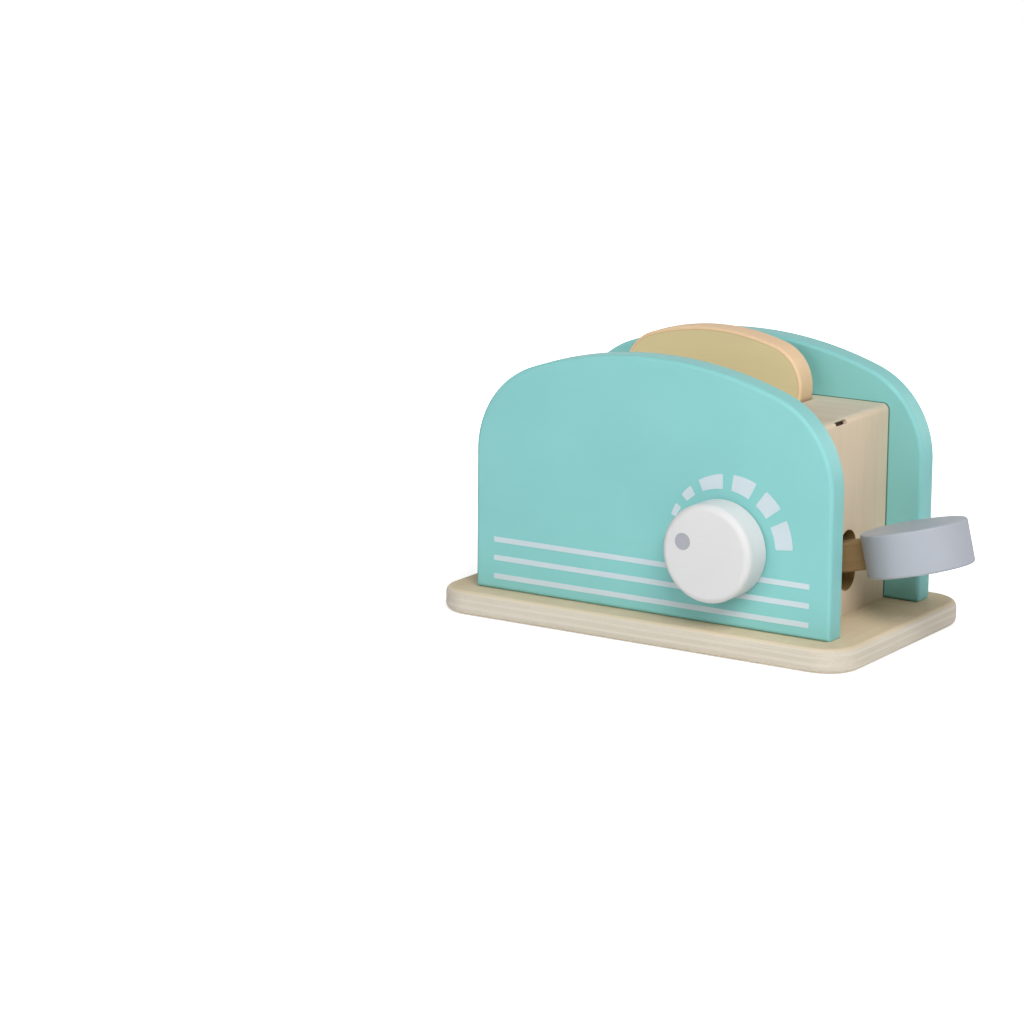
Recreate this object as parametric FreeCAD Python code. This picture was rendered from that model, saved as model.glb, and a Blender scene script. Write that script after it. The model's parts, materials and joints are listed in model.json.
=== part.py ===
import FreeCAD, Part
import math
import os

# A wooden toy pop-up toaster, in millimetres and degrees.
# Origin: on the underside of the base board, below the middle of the case.
# +Z up, the knob faces -Y, the lever leaves at +X.
# A see-saw lever rocks on a dowel inside the case: pressing the paddle lifts a platform and the bread on it.

# ---- base board ----
base_thickness = 11.0
base_margin_left = 15.5
base_margin_right = 13.5
base_margin_y = 12.75
base_corner_radius = 16.5
base_edge_radius = 3.0

# ---- painted front and back panels ----
panel_overhang = 17.25
panel_thickness = 12.0
panel_side_height = 64.0
panel_shoulder_radius = 43.0
panel_crown_rise = 8.5
panel_edge_radius = 2.0

# ---- case between the panels: mitred end boards and top board ----
case_length = 147.5
case_height = 89.5
board_thickness = 12.0
case_edge_radius = 3.0

# ---- bread slice ----
slice_thickness = 12.0
slice_body_width = 78.0
slice_head_overhang = 7.0
slice_waist_height = 46.0
slice_neck_rise = 22.75
slice_shoulder_radius = 20.0
slice_crown_rise = 4.1
slice_foot_radius = 3.0
slice_edge_radius = 1.2

# ---- bread slots in the top board ----
slot_centre_x = -6.0
slot_gap = 30.0
slot_wall = 7.75
slot_side_clearance = 1.0
slot_end_clearance = 0.75

# ---- lever ----
rest_tilt = 13.6
press_angle = 14.5
pivot_inset = 11.75
pivot_height = 21.0
pivot_dowel_diameter = 8.0
arm_width = 12.0
arm_height = 13.0
arm_edge_radius = 1.0
arm_side_clearance = 0.5
paddle_reach = 59.5
paddle_length = 49.2
paddle_depth = 40.2
paddle_thickness = 19.8
paddle_edge_radius = 1.1
paddle_socket_depth = 8.0
paddle_pin_diameter = 4.0
paddle_pin_cover = 3.0
push_dowel_diameter = 8.0
pivot_block_length = 16.0
pivot_block_width = 8.0
pivot_block_cover = 8.0

# ---- slot for the arm in the end board ----
arm_slot_side_clearance = 2.0
arm_slot_top_clearance = 5.1
arm_slot_bottom_clearance = 0.5

# ---- lift ----
platform_thickness = 8.0
batten_width = 8.0
batten_height = 7.0
batten_end_inset = 3.0
notch_side_clearance = 1.5
notch_top_clearance = 1.0
guide_dowel_diameter = 6.0
guide_dowel_inset = 6.5
guide_dowel_seat = 6.0
guide_side_clearance = 2.0
batten_guide_clearance = 1.0

# ---- knob ----
knob_end_inset = 53.0
knob_height = 35.0
knob_diameter = 44.0
knob_thickness = 15.5
knob_edge_radius = 3.2
knob_back_edge_radius = 0.8
knob_panel_gap = 0.5
knob_axle_diameter = 8.0
knob_axle_seat = 9.0
retainer_diameter = 17.0
retainer_thickness = 4.0
retainer_gap = 0.5
retainer_platform_gap = 1.25
pointer_angle = 158.0
pointer_radius = 12.0
pointer_diameter = 7.6
pointer_depth = 1.0
pointer_proud = 0.05

# ---- printed marks on the front panel ----
print_thickness = 0.15
stripe_count = 3
stripe_end_margin = 10.0
stripe_width = 2.4
stripe_first_height = 6.3
stripe_pitch = 8.55
dial_inner_radius = 26.2
dial_outer_radius = 31.2
dial_outer_shift_x = 3.3
dial_outer_shift_z = 1.9
dial_start_angle = 5.5
dial_gap_angle = 9.4
dial_mark_angles = (21.8, 16.1, 19.8, 22.4, 11.6, 11.5)

# ---- fasteners ----
screw_length = 25.0
screw_diameter = 4.0
screw_head_diameter = 8.0
screw_head_height = 2.4
screw_head_sink = 0.3
screw_hole_clearance = 0.2
screw_cross_width = 1.0
screw_cross_span = 4.4
screw_cross_depth = 1.5
panel_screw_inset = 30.0
board_screw_inset = 12.75
joint_dowel_diameter = 6.0
joint_dowel_board_depth = 10.0
joint_dowel_panel_depth = 8.0
joint_dowel_low_height = 26.0
joint_dowel_pitch = 40.0
staple_crown = 9.5
staple_wire = 1.1
staple_leg = 14.0
staple_offset_y = -8.6
staple_drive_angle = 32.0
staple_recess_depth = 2.9
staple_recess_margin = 0.4

# ---- fits ----
running_clearance = 0.08
seat_gap = 0.3
slice_seat_gap = 0.2

# ---- limits for picking edges ----
same_place = 1e-6
parallel_angle = 2.5

# ---- derived levels and stations ----
X_AXIS = FreeCAD.Vector(1, 0, 0)
Y_AXIS = FreeCAD.Vector(0, 1, 0)
Z_AXIS = FreeCAD.Vector(0, 0, 1)
ORIGIN = FreeCAD.Vector(0, 0, 0)

slot_width = slice_thickness + 2 * slot_side_clearance
slice_head_half = slice_body_width / 2 + slice_head_overhang
slot_length = 2 * (slice_head_half + slot_end_clearance)
slot_centre_y = (slot_gap + slot_width) / 2
case_depth = slot_gap + 2 * (slot_width + slot_wall)
panel_length = case_length + 2 * panel_overhang
panel_face_y = case_depth / 2 + panel_thickness
base_left_x = -panel_length / 2 - base_margin_left
base_right_x = panel_length / 2 + base_margin_right
base_depth = 2 * (panel_face_y + base_margin_y)

base_top = base_thickness
case_top = base_top + case_height
case_ceiling = case_top - board_thickness
case_end_x = case_length / 2
board_inner_x = case_end_x - board_thickness
board_middle_x = case_end_x - board_thickness / 2

pivot_x = board_inner_x - pivot_inset
pivot_z = base_top + pivot_height
pivot_point = FreeCAD.Vector(pivot_x, 0, pivot_z)
tilt = math.radians(rest_tilt)
press = math.radians(press_angle)
nose_radius = arm_height / 2
nose_reach = (pivot_height - nose_radius - seat_gap) / math.sin(tilt)
push_dowel_z = pivot_z - nose_reach * math.sin(tilt)
lift_travel = nose_reach * (math.sin(tilt) - math.sin(tilt - press))

batten_bottom = push_dowel_z + push_dowel_diameter / 2 + seat_gap
platform_bottom = batten_bottom + batten_height
platform_top = platform_bottom + platform_thickness
slice_bottom = platform_top + slice_seat_gap
platform_half_length = slice_body_width / 2
platform_half_depth = case_depth / 2 - retainer_gap - retainer_thickness - retainer_platform_gap
guide_dowel_x = platform_half_length - guide_dowel_inset
guide_dowel_y = arm_width / 2 + guide_side_clearance + guide_dowel_diameter / 2
batten_inner_y = guide_dowel_y + guide_dowel_diameter / 2 + batten_guide_clearance

knob_x = panel_length / 2 - knob_end_inset
knob_z = base_top + knob_height
knob_back_y = -panel_face_y - knob_panel_gap
knob_face_y = knob_back_y - knob_thickness


def block(x, y, z):
    """A box between pairs of coordinates along each axis."""
    corner = FreeCAD.Vector(x[0], y[0], z[0])
    return Part.makeBox(x[1] - x[0], y[1] - y[0], z[1] - z[0], corner)


def rod(start, direction, diameter, length):
    return Part.makeCylinder(diameter / 2, length, start, direction)


def cross_rod(x, z, y, diameter):
    """A rod along Y between the two y values."""
    return rod(FreeCAD.Vector(x, y[0], z), Y_AXIS, diameter, y[1] - y[0])


def polar(centre_x, centre_z, radius, angle):
    """A point in the XZ plane at an angle in radians from +X."""
    return FreeCAD.Vector(centre_x + radius * math.cos(angle), 0, centre_z + radius * math.sin(angle))


def arc(centre_x, centre_z, radius, first, last):
    ends = [polar(centre_x, centre_z, radius, angle) for angle in (first, (first + last) / 2, last)]
    return Part.Arc(*ends).toShape()


def line(start, end):
    return Part.LineSegment(start, end).toShape()


def mirrored_x(shape):
    return shape.mirror(ORIGIN, X_AXIS)


def mirrored_y(shape):
    return shape.mirror(ORIGIN, Y_AXIS)


def crown(half_width, spring_z, shoulder_radius, rise, first_angle=0.0):
    """Shoulder, top and shoulder of an arch: a large arc tangent to two shoulder arcs."""
    centre_x = half_width - shoulder_radius
    top_z = spring_z + shoulder_radius + rise
    top_radius = ((shoulder_radius + rise) ** 2 + centre_x**2 - shoulder_radius**2) / (2 * rise)
    top_centre_z = top_z - top_radius
    meet = math.atan2(spring_z - top_centre_z, centre_x)
    shoulder = arc(centre_x, spring_z, shoulder_radius, first_angle, meet)
    top = arc(0, top_centre_z, top_radius, meet, math.pi - meet)
    return [shoulder, top, mirrored_x(shoulder)]


def prism(edges, y):
    """The closed outline of these XZ edges, as a solid between two y values."""
    face = Part.Face(Part.Wire(Part.__sortEdges__(edges)))
    solid = face.extrude(FreeCAD.Vector(0, y[1] - y[0], 0))
    solid.translate(FreeCAD.Vector(0, y[0], 0))
    return solid


def rim_edges(solid, y_values, above_z):
    """Edges that lie in one of the planes Y = value, without those on the level above_z."""
    found = []
    for edge in solid.Edges:
        box = edge.BoundBox
        flat = box.YLength < same_place and any(abs(box.YMin - y) < same_place for y in y_values)
        if flat and box.ZMax > above_z + same_place:
            found.append(edge)
    return found


def edges_along(solid, axis):
    """Straight edges parallel to an axis."""
    found = []
    parallel = math.cos(math.radians(parallel_angle))
    for edge in solid.Edges:
        if isinstance(edge.Curve, Part.Line) and abs(edge.Curve.Direction.dot(axis)) > parallel:
            found.append(edge)
    return found


def save(node, shape):
    shape.exportStep(f"parts/{node}.step")


def tilted(shape):
    """A lever piece drawn level about the pivot, turned to its rest tilt."""
    shape.rotate(ORIGIN, Y_AXIS, -rest_tilt)
    shape.translate(pivot_point)
    return shape


# ---- fasteners, and the holes they need ----
def screw_places():
    panel_y = case_depth / 2 + panel_thickness / 2
    panel_x = panel_length / 2 - panel_screw_inset
    board_y = case_depth / 2 - board_screw_inset
    block_y = arm_width / 2 + arm_side_clearance + pivot_block_width / 2
    places = [(pivot_x, block_y), (pivot_x, -block_y)]
    for x, y in ((panel_x, panel_y), (board_middle_x, board_y)):
        places += [(x, y), (-x, y), (x, -y), (-x, -y)]
    return places


def screw(x, y):
    """A countersunk wood screw, head down, sunk a little below the underside of the base."""
    head_z = screw_head_sink
    neck_z = head_z + screw_head_height
    start = FreeCAD.Vector(x, y, head_z)
    head = Part.makeCone(screw_head_diameter / 2, screw_diameter / 2, screw_head_height, start)
    shank = rod(FreeCAD.Vector(x, y, neck_z), Z_AXIS, screw_diameter, screw_length - screw_head_height)
    span = screw_cross_span / 2
    half = screw_cross_width / 2
    depth = (head_z, head_z + screw_cross_depth)
    slot_x = block((x - span, x + span), (y - half, y + half), depth)
    slot_y = block((x - half, x + half), (y - span, y + span), depth)
    return head.fuse(shank).cut(slot_x).cut(slot_y)


def screw_hole(x, y):
    """Clearance hole with its countersink, through the base board."""
    hole = rod(FreeCAD.Vector(x, y, 0), Z_AXIS, screw_diameter + 2 * screw_hole_clearance, base_top)
    wide = screw_head_diameter / 2 + screw_hole_clearance
    narrow = screw_diameter / 2 + screw_hole_clearance
    mouth = rod(FreeCAD.Vector(x, y, 0), Z_AXIS, 2 * wide, screw_head_sink)
    cone = Part.makeCone(wide, narrow, screw_head_height, FreeCAD.Vector(x, y, screw_head_sink))
    return hole.fuse([mouth, cone])


def screw_pilots():
    length = screw_head_sink + screw_length - base_top
    return [rod(FreeCAD.Vector(x, y, base_top), Z_AXIS, screw_diameter, length) for x, y in screw_places()]


def joint_dowels():
    """Dowels that pin both end boards to both panels."""
    near = case_depth / 2 - joint_dowel_board_depth
    far = case_depth / 2 + joint_dowel_panel_depth
    dowels = []
    for x in (-board_middle_x, board_middle_x):
        for step in (0, 1):
            z = base_top + joint_dowel_low_height + step * joint_dowel_pitch
            back = cross_rod(x, z, (near, far), joint_dowel_diameter)
            dowels += [back, mirrored_y(back)]
    return dowels


def at_corner(shape):
    """Turns a piece drawn along +X to the staple's drive line, through the centre of the end rounding."""
    shape.rotate(ORIGIN, Y_AXIS, -staple_drive_angle)
    rounding_x = case_end_x - case_edge_radius
    rounding_z = case_top - case_edge_radius
    shape.translate(FreeCAD.Vector(rounding_x, staple_offset_y, rounding_z))
    return shape


def staple():
    seat = case_edge_radius - staple_recess_depth
    half = staple_crown / 2
    thick = staple_wire / 2
    body = block((seat - staple_leg, seat + staple_wire), (-half, half), (-thick, thick))
    inside = half - staple_wire
    gap = block((seat - staple_leg, seat), (-inside, inside), (-thick, thick))
    return at_corner(body.cut(gap))


def staple_recess():
    seat = case_edge_radius - staple_recess_depth
    half = staple_crown / 2 + staple_recess_margin
    thick = staple_wire / 2 + staple_recess_margin
    mouth = block((seat, case_edge_radius + staple_wire), (-half, half), (-thick, thick))
    return at_corner(mouth)


def both_ends(shape):
    """The same piece at the other end, turned half a turn about Z."""
    other = shape.copy()
    other.rotate(ORIGIN, Z_AXIS, 180)
    return [shape, other]


# ---- base board ----
def base_board():
    board = block((base_left_x, base_right_x), (-base_depth / 2, base_depth / 2), (0, base_top))
    board = board.makeFillet(base_corner_radius, edges_along(board, Z_AXIS))
    rims = [edge for edge in board.Edges if edge.BoundBox.ZLength < same_place]
    board = board.makeFillet(base_edge_radius, rims)
    seats = [guide_dowel(x, y, base_top - guide_dowel_seat) for x, y in guide_places()]
    holes = [screw_hole(x, y) for x, y in screw_places()]
    return board.cut(holes + seats)


# ---- panels ----
def panel():
    """The back panel without the holes that only one panel has."""
    half = panel_length / 2
    spring_z = base_top + panel_side_height
    outline = crown(half, spring_z, panel_shoulder_radius, panel_crown_rise)
    right = line(FreeCAD.Vector(half, 0, base_top), FreeCAD.Vector(half, 0, spring_z))
    foot = line(FreeCAD.Vector(-half, 0, base_top), FreeCAD.Vector(half, 0, base_top))
    outline += [right, mirrored_x(right), foot]
    faces = (case_depth / 2, panel_face_y)
    solid = prism(outline, faces)
    return solid.makeFillet(panel_edge_radius, rim_edges(solid, faces, base_top))


def back_panel():
    return panel().cut(joint_dowels() + screw_pilots())


def front_panel():
    bore = knob_axle_diameter + 2 * running_clearance
    axle_hole = cross_rod(knob_x, knob_z, (-panel_face_y, -case_depth / 2), bore)
    return mirrored_y(panel()).cut(joint_dowels() + screw_pilots() + [axle_hole])


# ---- case boards ----
def case_blank():
    """The whole mitred arch of end boards and top board, before it is parted."""
    half_depth = case_depth / 2
    outside = block((-case_end_x, case_end_x), (-half_depth, half_depth), (base_top, case_top))
    top_edges = [e for e in edges_along(outside, Y_AXIS) if e.BoundBox.ZMin > case_ceiling]
    outside = outside.makeFillet(case_edge_radius, top_edges)
    inside = block((-board_inner_x, board_inner_x), (-half_depth, half_depth), (base_top, case_ceiling))
    recesses = both_ends(staple_recess()) + both_ends(staple())
    return outside.cut(inside).cut(recesses)


def mitre_wedge():
    """Everything above the two mitre planes: the space of the top board."""
    points = [
        (-board_inner_x, case_ceiling),
        (board_inner_x, case_ceiling),
        (case_end_x, case_top),
        (-case_end_x, case_top),
    ]
    corners = [FreeCAD.Vector(x, 0, z) for x, z in points]
    edges = [line(a, b) for a, b in zip(corners, corners[1:] + corners[:1])]
    return prism(edges, (-case_depth / 2, case_depth / 2))


def bread_slot(side):
    x = (slot_centre_x - slot_length / 2, slot_centre_x + slot_length / 2)
    y = (side * slot_centre_y - slot_width / 2, side * slot_centre_y + slot_width / 2)
    return block(x, y, (case_ceiling, case_top))


def top_board():
    board = case_blank().common(mitre_wedge())
    seats = [guide_dowel(x, y, base_top) for x, y in guide_places()]
    return board.cut([bread_slot(1), bread_slot(-1)] + seats)


def end_board(side):
    """One upright board of the case, on the +X or the -X side."""
    x = sorted((side * board_inner_x, side * case_end_x))
    slab = block(x, (-case_depth / 2, case_depth / 2), (base_top, case_top))
    board = case_blank().common(slab).cut(mitre_wedge())
    return board.cut(joint_dowels() + screw_pilots())


def arm_slot():
    """Round-ended upright slot: its lower end just clears the corners of the pressed arm."""
    half_width = arm_width / 2 + arm_slot_side_clearance
    corner_drop = math.sqrt(half_width**2 - (arm_width / 2) ** 2)
    run = case_end_x - pivot_x
    rest_top = pivot_z + run * math.tan(tilt) + nose_radius / math.cos(tilt)
    low = tilt - press
    pressed_bottom = pivot_z + run * math.tan(low) - nose_radius / math.cos(low)
    top = rest_top + arm_slot_top_clearance - half_width
    bottom = pressed_bottom - arm_slot_bottom_clearance + corner_drop
    centres = [FreeCAD.Vector(board_inner_x, 0, z) for z in (top, bottom)]
    ends = [rod(centre, X_AXIS, 2 * half_width, board_thickness) for centre in centres]
    middle = block((board_inner_x, case_end_x), (-half_width, half_width), (bottom, top))
    return middle.fuse(ends)


# ---- lift ----
def guide_places():
    """One dowel on each side of the arm, near the two ends of the platform."""
    return [(slot_centre_x - guide_dowel_x, -guide_dowel_y), (slot_centre_x + guide_dowel_x, guide_dowel_y)]


def guide_dowel(x, y, foot_z, extra=0.0):
    """A guide dowel from foot_z up into its seat in the top board."""
    start = FreeCAD.Vector(x, y, foot_z)
    return rod(start, Z_AXIS, guide_dowel_diameter + 2 * extra, case_ceiling + guide_dowel_seat - foot_z)


def lift_platform():
    x = (slot_centre_x - platform_half_length, slot_centre_x + platform_half_length)
    board = block(x, (-platform_half_depth, platform_half_depth), (platform_bottom, platform_top))
    clear_z = platform_bottom - notch_top_clearance
    notch_x = pivot_x + (clear_z - pivot_z - nose_radius / math.cos(tilt)) / math.tan(tilt)
    half = arm_width / 2 + notch_side_clearance
    notch = block((notch_x, x[1]), (-half, half), (platform_bottom, platform_top))
    bores = [guide_dowel(gx, gy, base_top, running_clearance) for gx, gy in guide_places()]
    return board.cut([notch] + bores)


def lift_batten():
    half = platform_half_length - batten_end_inset
    y = (batten_inner_y, batten_inner_y + batten_width)
    return block((slot_centre_x - half, slot_centre_x + half), y, (batten_bottom, platform_bottom))


# ---- lever, drawn level about its pivot ----
def push_dowel():
    half = batten_inner_y + batten_width
    return cross_rod(-nose_reach, 0, (-half, half), push_dowel_diameter)


def paddle_pin():
    """Stands in the underside of the paddle and ends inside the arm."""
    x = paddle_reach - paddle_length / 2 + paddle_socket_depth / 2
    start = FreeCAD.Vector(x, 0, -paddle_thickness / 2)
    return rod(start, Z_AXIS, paddle_pin_diameter, paddle_thickness / 2 + nose_radius - paddle_pin_cover)


def arm_end_x():
    return paddle_reach - paddle_length / 2 + paddle_socket_depth


def arm_bar():
    half = arm_width / 2
    bar = block((-nose_reach, arm_end_x()), (-half, half), (-nose_radius, nose_radius))
    return bar.makeFillet(arm_edge_radius, edges_along(bar, X_AXIS))


def lever_arm():
    half = arm_width / 2
    nose = cross_rod(-nose_reach, 0, (-half, half), arm_height)
    nose = nose.makeFillet(arm_edge_radius, rim_edges(nose, (-half, half), -arm_height))
    pivot_bore = cross_rod(0, 0, (-half, half), pivot_dowel_diameter + 2 * running_clearance)
    return arm_bar().fuse(nose).cut([pivot_bore, push_dowel(), paddle_pin()])


def lever_paddle():
    centre = FreeCAD.Vector(paddle_reach, 0, -paddle_thickness / 2)
    outline = Part.Ellipse(centre, paddle_length / 2, paddle_depth / 2).toShape()
    disc = Part.Face(Part.Wire([outline])).extrude(FreeCAD.Vector(0, 0, paddle_thickness))
    rims = [edge for edge in disc.Edges if edge.BoundBox.ZLength < same_place]
    disc = disc.makeFillet(paddle_edge_radius, rims)
    return disc.cut([arm_bar(), paddle_pin()])


def pivot_block():
    inner = arm_width / 2 + arm_side_clearance
    x = (pivot_x - pivot_block_length / 2, pivot_x + pivot_block_length / 2)
    top = pivot_z + pivot_block_cover
    body = block(x, (inner, inner + pivot_block_width), (base_top, top))
    return body.cut([lever_pivot_dowel()] + screw_pilots())


def lever_pivot_dowel():
    half = arm_width / 2 + arm_side_clearance + pivot_block_width
    return cross_rod(pivot_x, pivot_z, (-half, half), pivot_dowel_diameter)


# ---- knob ----
def knob_axle():
    inner_y = -case_depth / 2 + retainer_gap + retainer_thickness
    return cross_rod(knob_x, knob_z, (knob_back_y - knob_axle_seat, inner_y), knob_axle_diameter)


def knob_retainer():
    y = -case_depth / 2 + retainer_gap
    return cross_rod(knob_x, knob_z, (y, y + retainer_thickness), retainer_diameter).cut(knob_axle())


def pointer(proud):
    angle = math.radians(pointer_angle)
    x = knob_x + pointer_radius * math.cos(angle)
    z = knob_z + pointer_radius * math.sin(angle)
    return cross_rod(x, z, (knob_face_y - proud, knob_face_y + pointer_depth), pointer_diameter)


def knob():
    disc = cross_rod(knob_x, knob_z, (knob_face_y, knob_back_y), knob_diameter)
    lowest = knob_z - knob_diameter
    disc = disc.makeFillet(knob_edge_radius, rim_edges(disc, (knob_face_y,), lowest))
    disc = disc.makeFillet(knob_back_edge_radius, rim_edges(disc, (knob_back_y,), lowest))
    return disc.cut([knob_axle(), pointer(0.0)])


# ---- printed marks ----
def print_layer():
    return (-panel_face_y - print_thickness, -panel_face_y)


def front_stripes():
    half = panel_length / 2 - stripe_end_margin
    stripes = []
    for step in range(stripe_count):
        z = base_top + stripe_first_height + step * stripe_pitch
        stripes.append(block((-half, half), print_layer(), (z - stripe_width / 2, z + stripe_width / 2)))
    return Part.makeCompound(stripes)


def dial_marks():
    """Parts of a crescent: round inside about the knob, and about a shifted centre outside."""
    crescent = cross_rod(
        knob_x + dial_outer_shift_x, knob_z + dial_outer_shift_z, print_layer(), 2 * dial_outer_radius
    )
    crescent = crescent.cut(cross_rod(knob_x, knob_z, print_layer(), 2 * dial_inner_radius))
    reach = 2 * dial_outer_radius
    first = dial_start_angle
    marks = []
    for width in dial_mark_angles:
        ends = [polar(knob_x, knob_z, reach, math.radians(angle)) for angle in (first, first + width)]
        corners = [FreeCAD.Vector(knob_x, 0, knob_z)] + ends
        wedge = prism([line(a, b) for a, b in zip(corners, corners[1:] + corners[:1])], print_layer())
        marks += crescent.common(wedge).Solids
        first += width + dial_gap_angle
    return Part.makeCompound(marks)


# ---- bread ----
def bread_slice():
    """Stands on the platform in the rear slot: straight body, drawn-in waist, domed head."""
    half = slice_body_width / 2
    centre_x = slice_head_half - slice_shoulder_radius
    spring = slice_waist_height + slice_neck_rise
    offset = half - centre_x
    waist_radius = (slice_neck_rise**2 + offset**2 - slice_shoulder_radius**2) / (2 * slice_head_overhang)
    waist_x = half + waist_radius
    meet = math.atan2(slice_waist_height - spring, waist_x - centre_x)
    edges = crown(slice_head_half, spring, slice_shoulder_radius, slice_crown_rise, meet)
    waist = arc(waist_x, slice_waist_height, waist_radius, math.pi + meet, math.pi)
    side = line(FreeCAD.Vector(half, 0, slice_foot_radius), FreeCAD.Vector(half, 0, slice_waist_height))
    corner = arc(half - slice_foot_radius, slice_foot_radius, slice_foot_radius, -math.pi / 2, 0)
    foot_x = half - slice_foot_radius
    foot = line(FreeCAD.Vector(-foot_x, 0, 0), FreeCAD.Vector(foot_x, 0, 0))
    for edge in (waist, side, corner):
        edges += [edge, mirrored_x(edge)]
    faces = (slot_centre_y - slice_thickness / 2, slot_centre_y + slice_thickness / 2)
    solid = prism(edges + [foot], faces)
    solid = solid.makeFillet(slice_edge_radius, rim_edges(solid, faces, -1.0))
    solid.translate(FreeCAD.Vector(slot_centre_x, 0, slice_bottom))
    return solid


def main():
    os.makedirs("parts", exist_ok=True)
    save("base_board", base_board())
    save("front_panel", front_panel())
    save("back_panel", back_panel())
    save("top_board", top_board())
    save("lever_end_board", end_board(1).cut(arm_slot()))
    save("plain_end_board", end_board(-1))
    save("panel_dowels", Part.makeCompound(joint_dowels()))
    save("base_screws", Part.makeCompound([screw(x, y) for x, y in screw_places()]))
    save("corner_staples", Part.makeCompound(both_ends(staple())))
    save("pivot_blocks", Part.makeCompound([pivot_block(), mirrored_y(pivot_block())]))
    save("lever_pivot_dowel", lever_pivot_dowel())
    dowels = [guide_dowel(x, y, base_top - guide_dowel_seat) for x, y in guide_places()]
    save("guide_dowels", Part.makeCompound(dowels))
    save("lever_arm", tilted(lever_arm()))
    save("lever_paddle", tilted(lever_paddle()))
    save("paddle_pin", tilted(paddle_pin()))
    save("push_dowel", tilted(push_dowel()))
    save("lift_platform", lift_platform())
    save("lift_battens", Part.makeCompound([lift_batten(), mirrored_y(lift_batten())]))
    save("bread_slice", bread_slice())
    save("knob", knob())
    save("knob_dot", pointer(pointer_proud))
    save("knob_axle", knob_axle())
    save("knob_retainer", knob_retainer())
    save("front_stripes", front_stripes())
    save("dial_marks", dial_marks())
    print(f"lift travel {lift_travel:.3f} mm for {press_angle} degrees")
    print(f"pivot at x {pivot_x:.3f}, z {pivot_z:.3f}; slice bottom {slice_bottom:.3f}")


main()
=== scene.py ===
# %% [markdown]
# # A wooden toy toaster in Blender
# The toy is a case of painted and bare boards round a see-saw lever that lifts a slice of bread, with a
# knob on its front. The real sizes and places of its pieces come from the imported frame.
# Each lesson cell first says what a piece is on the real toy, how it could be made, and why one way was
# chosen.

# %% Open the frame
import bmesh
import bpy
import json
import math
from mathutils import Matrix, Vector


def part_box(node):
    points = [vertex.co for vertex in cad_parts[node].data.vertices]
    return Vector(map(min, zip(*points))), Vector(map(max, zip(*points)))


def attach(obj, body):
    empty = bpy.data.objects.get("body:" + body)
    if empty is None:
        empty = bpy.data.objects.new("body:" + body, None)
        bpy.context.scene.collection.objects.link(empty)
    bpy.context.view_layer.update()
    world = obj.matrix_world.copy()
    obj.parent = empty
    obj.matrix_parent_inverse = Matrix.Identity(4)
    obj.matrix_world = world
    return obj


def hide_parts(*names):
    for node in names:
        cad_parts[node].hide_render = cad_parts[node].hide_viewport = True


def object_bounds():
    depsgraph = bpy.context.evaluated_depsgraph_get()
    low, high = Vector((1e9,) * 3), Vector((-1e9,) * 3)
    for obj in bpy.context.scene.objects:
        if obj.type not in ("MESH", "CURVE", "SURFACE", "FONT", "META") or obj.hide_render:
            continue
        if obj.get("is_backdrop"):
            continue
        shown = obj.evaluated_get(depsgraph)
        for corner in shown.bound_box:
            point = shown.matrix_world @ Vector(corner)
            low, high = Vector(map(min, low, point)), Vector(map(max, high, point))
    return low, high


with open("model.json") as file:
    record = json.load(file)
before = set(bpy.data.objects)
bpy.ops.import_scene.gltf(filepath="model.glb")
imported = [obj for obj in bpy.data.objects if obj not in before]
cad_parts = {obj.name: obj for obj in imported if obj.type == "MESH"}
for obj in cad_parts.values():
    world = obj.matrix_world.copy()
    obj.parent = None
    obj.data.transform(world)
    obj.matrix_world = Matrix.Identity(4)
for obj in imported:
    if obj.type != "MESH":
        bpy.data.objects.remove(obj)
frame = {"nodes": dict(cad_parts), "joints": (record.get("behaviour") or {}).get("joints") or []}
cad_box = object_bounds()

# %% [markdown]
# ## Units and places
# Sizes are easier to read in millimetres, so each one is written as a number times MM.
# The frame already knows where every node begins and ends. Reading the boxes of the main ones here
# keeps the dressed pieces on the solids that carry them, also after a size has changed.

# %% Boxes of the main pieces
MM = 0.001
CASE_ROUNDING = 3.0 * MM
QUARTER_TURN = math.pi / 2

base_low, base_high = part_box("base_board")
front_low, front_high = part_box("front_panel")
back_low, back_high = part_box("back_panel")
end_low, end_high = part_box("lever_end_board")
top_low, top_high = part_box("top_board")
joints = {joint["name"]: joint for joint in frame["joints"]}
pivot = Vector(joints["lever_press"]["pos_m"])
knob_centre = Vector(joints["knob_turn"]["pos_m"])
print("base board", [round(side / MM, 1) for side in base_high - base_low], "mm")

# %% [markdown]
# ## Viewpoint
# A long lens from the front right, a little above the toy, keeps its upright edges nearly parallel.
# The camera could be aimed with a constraint, but three turns written as one product are plainer:
# round the toy, down towards it, and a trace of roll.

# %% Camera
LENS = 121.43
STAND = (0.7565, -1.3288, 0.3897)
AZIMUTH = math.radians(32.897)
ELEVATION = math.radians(12.630)
ROLL = math.radians(0.374)

lens = bpy.data.cameras.new("viewpoint")
lens.sensor_width = 36.0
lens.lens = LENS
camera = bpy.data.objects.new("viewpoint", lens)
aim = Matrix.Rotation(AZIMUTH, 4, "Z") @ Matrix.Rotation(QUARTER_TURN - ELEVATION, 4, "X")
camera.matrix_world = Matrix.Translation(STAND) @ aim @ Matrix.Rotation(ROLL, 4, "Z")
bpy.context.scene.collection.objects.link(camera)
bpy.context.scene.camera = camera
bpy.context.scene.view_settings.view_transform = "Standard"
print("camera", round(camera.matrix_world.translation.length, 3), "m from the origin")

# %% [markdown]
# ## Shader maths as Python
# A finish is a small network of nodes. Wiring it by hand hides the sums in it, so an output socket is
# wrapped in a class that knows plus, minus, times and abs. An expression such as `1 - mask` then adds its
# own Math node, and `node` makes any other kind: its settings first, then what its sockets hold.

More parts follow.
